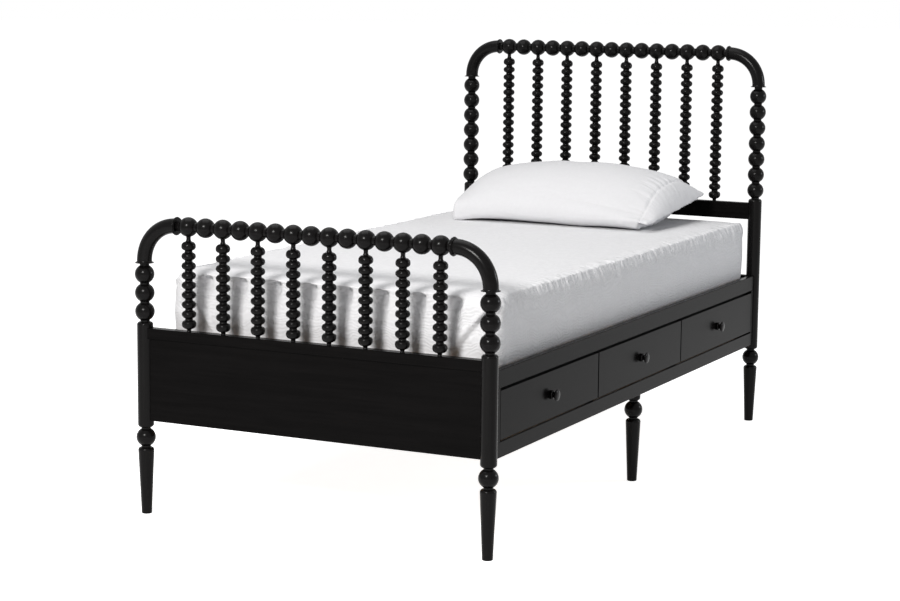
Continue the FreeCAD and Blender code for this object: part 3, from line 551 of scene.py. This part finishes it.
def finish_nodes(slot, materials, wanted=lambda node: True):
    """Gives every wanted node of a record's slot one of three materials, by the way its grain runs."""
    for node, its_slot in SLOT_OF.items():
        if its_slot == slot and wanted(node):
            piece = frame["nodes"][node]
            piece.data.materials.clear()
            piece.data.materials.append(materials[long_axis(node)])


class BED_OT_paint_frame(bpy.types.Operator):
    """Paint the posts, rails, spindles, boards, drawer fronts and knobs"""

    bl_idname = "bed.paint_frame"
    bl_label = "Paint Frame"

    def execute(self, context):
        paint = context.scene.bed_paint
        ways = ("across", "along", "upright")
        satin = [black_paint(f"Satin black {way}", axis, paint, paint.turned_shine) for axis, way in enumerate(ways)]
        flat = [black_paint(f"Flat black {way}", axis, paint, paint.board_shine) for axis, way in enumerate(ways)]
        finish_nodes("black_wood", satin, is_turned)
        finish_nodes("black_wood", flat, lambda node: not is_turned(node))
        return {"FINISHED"}


class BED_OT_turn_knobs(bpy.types.Operator):
    """Turn the drawer knobs, with a domed head, in place of the CAD's flatter ones"""

    bl_idname = "bed.turn_knobs"
    bl_label = "Turn Knobs"

    def execute(self, context):
        for number in (1, 2, 3):
            low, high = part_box(f"drawer_{number}_knob")
            mesh = bpy.data.meshes.new("Knob profile")
            edges = [(i, i + 1) for i in range(len(KNOB_PROFILE) - 1)]
            mesh.from_pydata([(out / 1000, 0, radius / 1000) for out, radius in KNOB_PROFILE], edges, [])
            knob = bpy.data.objects.new(f"drawer_{number}_turned_knob", mesh)
            context.scene.collection.objects.link(knob)
            knob.location = (high.x - KNOB_OUT, (low.y + high.y) / 2, (low.z + high.z) / 2)
            modified(
                knob, "SCREW", axis="X", steps=KNOB_STEPS, render_steps=KNOB_STEPS, use_merge_vertices=True,
                merge_threshold=0.00001, use_normal_calculate=True,
            )
            bpy.ops.object.transform_apply(location=True)
            bpy.ops.object.mode_set(mode="EDIT")
            bpy.ops.mesh.select_all(action="SELECT")
            bpy.ops.mesh.normals_make_consistent(inside=False)
            bpy.ops.object.mode_set(mode="OBJECT")
            bpy.ops.object.shade_smooth_by_angle(angle=math.radians(40))
            knob.data.materials.append(bpy.data.materials["Satin black across"])
            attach(knob, f"drawer_{number}")
            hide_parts(f"drawer_{number}_knob")
        return {"FINISHED"}


class BED_OT_finish_boxes(bpy.types.Operator):
    """Finish the bare wood of the drawer boxes, the slats and what carries them"""

    bl_idname = "bed.finish_boxes"
    bl_label = "Finish Bare Wood"

    def execute(self, context):
        paint = context.scene.bed_paint
        names = ("Bare wood across", "Bare wood along", "Bare wood upright")
        finish_nodes("bare_wood", [bare_wood(name, axis, paint) for axis, name in enumerate(names)])
        return {"FINISHED"}


class BED_OT_plate_steel(bpy.types.Operator):
    """Plate the drawer slides, the corner plates and the bolts"""

    bl_idname = "bed.plate_steel"
    bl_label = "Plate Steel"

    def execute(self, context):
        finish_nodes("steel", [plated_steel(context.scene.bed_paint)] * 3)
        return {"FINISHED"}


def refine(piece, chosen):
    """Halves the faces whose points are all chosen."""
    only(piece)
    bpy.ops.object.mode_set(mode="EDIT")
    bpy.ops.mesh.select_mode(type="VERT")
    bpy.ops.mesh.select_all(action="DESELECT")
    bpy.ops.object.mode_set(mode="OBJECT")
    for vertex in piece.data.vertices:
        vertex.select = chosen(vertex.co)
    bpy.ops.object.mode_set(mode="EDIT")
    bpy.ops.mesh.subdivide(number_cuts=1, quadcorner="INNERVERT", smoothness=0)
    bpy.ops.object.mode_set(mode="OBJECT")


def squared(point):
    """A point of the quilt, with the top edges drawn out towards their corners and the foot corners pushed out."""
    point = point.copy()
    down = (MATTRESS_HIGH.z - point.z) / EDGE_DROP
    away = 1 - smooth_step(0.34, 0.42, abs(point.x)) * smooth_step(0.78, 0.85, -point.y)
    edges = ((1, MATTRESS_LOW.y, None, FOOT_EDGE_SHARE), (0, MATTRESS_LOW.x, MATTRESS_HIGH.x, SIDE_EDGE_SHARE))
    for axis, low, high, share in edges:
        side = 1 if high is not None and point[axis] > 0 else -1
        face = high if side > 0 else low
        inset = abs(face - point[axis]) / EDGE_REACH
        if 0 < inset < 1 and 0 < down < 1:
            share *= away * (1 - max(inset, down) ** 4)
            keep = 1 - share * math.sin(2 * math.atan2(down, inset))
            point[axis] = face - side * inset * keep * EDGE_REACH
            point.z = MATTRESS_HIGH.z - down * keep * EDGE_DROP
    corner = smooth_step(0.38, 0.47, abs(point.x)) * smooth_step(0.80, 0.88, -point.y)
    point.x += math.copysign(CORNER_ASIDE, point.x) * corner
    point.y -= CORNER_FORWARD * corner
    return point


def noise_at(x, y, z):
    """A noise from -1 to 1 at a place."""
    return noise.noise(Vector((x, y, z)))


def crinkled(point, normal, linen):
    """How far a point of the quilt stands out: edge crinkles, faint waves and a pleat behind each spindle."""
    x, y, z = point
    edge = bump(abs(x) - CRINKLE_X, 0.055) * bump(z - CRINKLE_Z, 0.052)
    tick = noise_at(y * 58 + (x + z) * 34, z * 9, x * 9)
    fine = noise_at(y * 125 + (x + z) * 45, z * 22, x * 22)
    rise = edge * linen.crinkle * (0.8 * tick + 0.55 * fine)
    rise += 0.0004 * noise_at(x * 4, y * 42, 1) * smooth_step(0.5, 0.95, normal.z)
    rise += 0.0008 * noise_at(x * 8, y * 30, z * 5) * smooth_step(0.3, 0.9, abs(normal.x))
    if normal.y < -0.3:
        rise += 0.0016 * noise_at(x * 26, z * 12, 7)
        pleat = PLEAT_DEPTH * smooth_step(0.54, 0.63, z) + PLEAT_TOP_DEPTH * smooth_step(0.598, 0.632, z)
        pleat *= 1 - smooth_step(0.637, 0.646, z)
        for spindle in SPINDLES_X:
            rise -= pleat * bump(x - spindle - PLEAT_ASIDE, PLEAT_WIDTH)
    return rise


def tuck(point, normal):
    """The corners of the cover folded in under the foot end, each with a slanting lip over it."""
    if normal.y > -0.3:
        return 0
    fold = 0
    for side, x, z, slope, top in TUCKS:
        distance = side * (point.x - x) - (z - point.z) * slope
        below = 1 - smooth_step(top - 0.02, top, point.z)
        under = (1 - smooth_step(-0.005, 0.003, distance)) * smooth_step(-0.075, -0.008, distance)
        fold += (TUCK_LIP * bump(distance - 0.009, 0.014) - TUCK_DEPTH * under) * below
    return fold


class BED_OT_make_quilt(bpy.types.Operator):
    """Make the mattress under its tucked quilt"""

    bl_idname = "bed.make_quilt"
    bl_label = "Make Quilt"

    def execute(self, context):
        linen = context.scene.bed_linen
        quilt = soft_copy("mattress", "quilted_mattress")
        swell(quilt, linen.quilt_voxel, pressure=2.5)
        hug(quilt, "mattress", 0.9)
        modified(quilt, "SUBSURF", levels=1, render_levels=1)
        hug(quilt, "mattress", 0.8)
        modified(quilt, "SMOOTH", factor=0.5, iterations=1)
        for vertex in quilt.data.vertices:
            vertex.co = squared(vertex.co)
        refine(quilt, lambda point: abs(point.x) > CRINKLE_BAND_X and point.z > CRINKLE_BAND_Z)
        normals = [vertex.normal.copy() for vertex in quilt.data.vertices]
        for vertex, normal in zip(quilt.data.vertices, normals):
            vertex.co += normal * (crinkled(vertex.co, normal, linen) + tuck(vertex.co, normal))
            vertex.co.z = max(vertex.co.z, MATTRESS_LOW.z)
        only(quilt)
        bpy.ops.object.shade_smooth()
        quilt.data.materials.append(quilted_cotton(linen))
        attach(quilt, "frame")
        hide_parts("mattress")
        return {"FINISHED"}


def from_open_end(point):
    """How far a point of the pillow lies from the seam of its open end."""
    share = (point.y - PILLOW_LOW.y) / (PILLOW_HIGH.y - PILLOW_LOW.y)
    front = PILLOW_HIGH.x - PILLOW_TAPER + OPEN_END_OUT
    return front + PILLOW_TAPER * share - point.x


def flatten_hem(pillow, linen):
    """Draws the underside of the open end up to its top, as a thin hem with a puckered seam."""
    mesh = pillow.data
    upper = surface_of(mesh)
    normals = [vertex.normal.copy() for vertex in mesh.vertices]
    up = Vector((0, 0, 1))
    for vertex, normal in zip(mesh.vertices, normals):
        point = vertex.co.copy()
        end = from_open_end(point)
        if end > linen.hem + 0.1:
            continue
        seam = linen.hem + 0.004 * noise_at(point.y * 9, 0, 2)
        if normal.z < 0.1:
            roof = upper.ray_cast(point + up * 0.001, up)[0]
            if roof is not None:
                share = 1 - smooth_step(seam - 0.006, seam + 0.016, end)
                vertex.co.z += max(0, roof.z - HEM_THICKNESS - point.z) * share
        gather = noise_at(point.y * 62, end * 9, 5) + 0.5 * noise_at(point.y * 120, end * 14, 1)
        fade = bump(end - seam, 0.085) if end > seam else 0.35
        vertex.co.z += linen.pucker * gather * fade
        if normal.z > 0.1:
            vertex.co.z -= HEM_STITCH * bump(end - seam, 0.007)


def plumped(point):
    """A point of the pillow, with the ends drawn out, the crown raised on the left and the front edge waved."""
    x, y, z = point
    x -= CLOSED_END_OUT * smooth_step(0.20, 0.35, -x)
    x += OPEN_END_OUT * smooth_step(0.24, 0.35, x)
    crown = 0.007 * bump(x + 0.20, 0.10) - 0.010 * smooth_step(0.26, 0.34, -x)
    z += crown * smooth_step(0.69, 0.75, z)
    chin = (1 - smooth_step(0.50, 0.60, y)) * (1 - smooth_step(0.66, 0.72, z))
    wave = 0.004 * bump(x + 0.17, 0.14) - 0.008 * smooth_step(0.24, 0.36, -x)
    z += chin * (wave - 0.003 * smooth_step(0.0, 0.2, x))
    return x, y, z


class BED_OT_make_pillow(bpy.types.Operator):
    """Make the pillow in its case with a flat hem at the open end"""

    bl_idname = "bed.make_pillow"
    bl_label = "Make Pillow"

    def execute(self, context):
        linen = context.scene.bed_linen
        pillow = soft_copy("pillow", "pillow_in_case")
        swell(pillow, linen.pillow_voxel, pressure=3)
        hug(pillow, "pillow", 0.85)
        modified(pillow, "SUBSURF", levels=1, render_levels=1)
        for vertex in pillow.data.vertices:
            vertex.co = plumped(vertex.co)
        flatten_hem(pillow, linen)
        for vertex in pillow.data.vertices:
            vertex.co.z = max(vertex.co.z, PILLOW_LOW.z)
        only(pillow)
        bpy.ops.object.shade_smooth()
        pillow.data.materials.append(plain_cotton(linen))
        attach(pillow, "frame")
        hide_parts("pillow")
        return {"FINISHED"}


def area_light(name, place, target, size, power, colour):
    """A soft rectangular light that faces a point."""
    bpy.ops.object.light_add(type="AREA", location=place)
    light = bpy.context.object
    light.name = name
    light.data.shape = "RECTANGLE"
    light.data.size, light.data.size_y = size
    light.data.energy = power
    light.data.color = colour
    light.rotation_euler = (Vector(target) - Vector(place)).to_track_quat("-Z", "Y").to_euler()


def seen_directly(tree):
    """1 for what the camera sees itself, in a shine or through glass, and 0 for the light that a matt face gathers."""
    path = add(tree, "ShaderNodeLightPath").outputs
    mirrored = math_node(tree, "MAXIMUM", path["Is Glossy Ray"], path["Is Transmission Ray"])
    return math_node(tree, "MAXIMUM", path["Is Camera Ray"], mirrored)


class BED_OT_set_stage(bpy.types.Operator):
    """Set up the camera, the lights, the room and the floor"""

    bl_idname = "bed.set_stage"
    bl_label = "Set Stage"

    def execute(self, context):
        stage = context.scene.bed_stage
        self.place_camera(context.scene, stage)
        area_light(
            "Key", place=(0.3, -5.6, 3.2), target=(0, -0.6, 0.6), size=(1.3, 1.0), power=stage.key,
            colour=(1, 0.985, 0.97),
        )
        area_light(
            "Top", place=(-0.6, -0.3, 4.0), target=(0, 0, 0.6), size=(3, 3), power=stage.top, colour=(1, 1, 1),
        )
        area_light(
            "Side", place=(4.2, 2.4, 1.7), target=(0.5, 0.1, 0.45), size=(1.2, 1.0), power=stage.side,
            colour=(0.93, 0.96, 1),
        )
        self.light_room(context.scene, stage)
        self.lay_floor()
        context.scene.view_settings.view_transform = "Standard"
        return {"FINISHED"}

    def place_camera(self, scene, stage):
        bpy.ops.object.camera_add()
        camera = bpy.context.object
        camera.name = "Camera"
        flat = math.cos(stage.tilt)
        back = Vector((math.sin(stage.bearing) * flat, -math.cos(stage.bearing) * flat, math.sin(stage.tilt)))
        right = Vector((0, 0, 1)).cross(back).normalized()
        up = back.cross(right)
        turned = right * math.cos(stage.roll) + up * math.sin(stage.roll)
        upright = up * math.cos(stage.roll) - right * math.sin(stage.roll)
        turn = Matrix((turned, upright, back)).transposed()
        camera.matrix_world = Matrix.Translation(Vector(stage.camera)) @ turn.to_4x4()
        camera.data.sensor_fit = "HORIZONTAL"
        camera.data.sensor_width = 36
        camera.data.lens = stage.lens
        scene.camera = camera

    def light_room(self, scene, stage):
        world = bpy.data.worlds.new("Room")
        world.use_nodes = True
        tree = world.node_tree
        tree.nodes.clear()
        strength = spread(tree, seen_directly(tree), stage.sky, 1)
        room = add(tree, "ShaderNodeBackground", {"Color": (1, 1, 1, 1), "Strength": strength})
        add(tree, "ShaderNodeOutputWorld", {"Surface": room.outputs[0]})
        scene.world = world

    def lay_floor(self):
        bpy.ops.mesh.primitive_circle_add(vertices=96, radius=40, fill_type="NGON", location=(0, 0, -0.0002))
        floor = bpy.context.object
        floor.name = "Floor"
        material = bpy.data.materials.new("Pale floor")
        material.use_nodes = True
        tree = material.node_tree
        tree.nodes.clear()
        seen = seen_directly(tree)
        matt = add(tree, "ShaderNodeBsdfDiffuse", {"Color": (0.8, 0.8, 0.8, 1)})
        strength = math_node(tree, "MULTIPLY", seen, 0.9)
        glow = add(tree, "ShaderNodeEmission", {"Color": (1, 1, 1, 1), "Strength": strength})
        both = add(tree, "ShaderNodeAddShader", {0: matt.outputs[0], 1: glow.outputs[0]})
        add(tree, "ShaderNodeOutputMaterial", {"Surface": both.outputs[0]})
        floor.data.materials.append(material)


class VIEW3D_PT_bed(bpy.types.Panel):
    """The bed's sizes and colours, and its steps in order"""

    bl_label = "Spindle Platform Bed"
    bl_idname = "VIEW3D_PT_bed"
    bl_space_type = "VIEW_3D"
    bl_region_type = "UI"
    bl_category = "Bed"

    def draw(self, context):
        for settings in (context.scene.bed_paint, context.scene.bed_linen, context.scene.bed_stage):
            box = self.layout.box()
            for name in settings.__annotations__:
                box.prop(settings, name)
        for step in STEPS:
            self.layout.operator(step.bl_idname)


GROUPS = {"bed_paint": BedPaint, "bed_linen": BedLinen, "bed_stage": BedStage}
STEPS = (
    BED_OT_paint_frame, BED_OT_turn_knobs, BED_OT_finish_boxes, BED_OT_plate_steel,
    BED_OT_make_quilt, BED_OT_make_pillow, BED_OT_set_stage,
)


def register():
    for name, settings in GROUPS.items():
        bpy.utils.register_class(settings)
        setattr(bpy.types.Scene, name, bpy.props.PointerProperty(type=settings))
    for step in STEPS:
        bpy.utils.register_class(step)
    bpy.utils.register_class(VIEW3D_PT_bed)


def unregister():
    bpy.utils.unregister_class(VIEW3D_PT_bed)
    for step in reversed(STEPS):
        bpy.utils.unregister_class(step)
    for name, settings in GROUPS.items():
        delattr(bpy.types.Scene, name)
        bpy.utils.unregister_class(settings)


def main():
    register()
    bpy.ops.bed.paint_frame()
    bpy.ops.bed.turn_knobs()
    bpy.ops.bed.finish_boxes()
    bpy.ops.bed.plate_steel()
    bpy.ops.bed.make_quilt()
    bpy.ops.bed.make_pillow()
    bpy.ops.bed.set_stage()


if __name__ == "__main__":
    main()
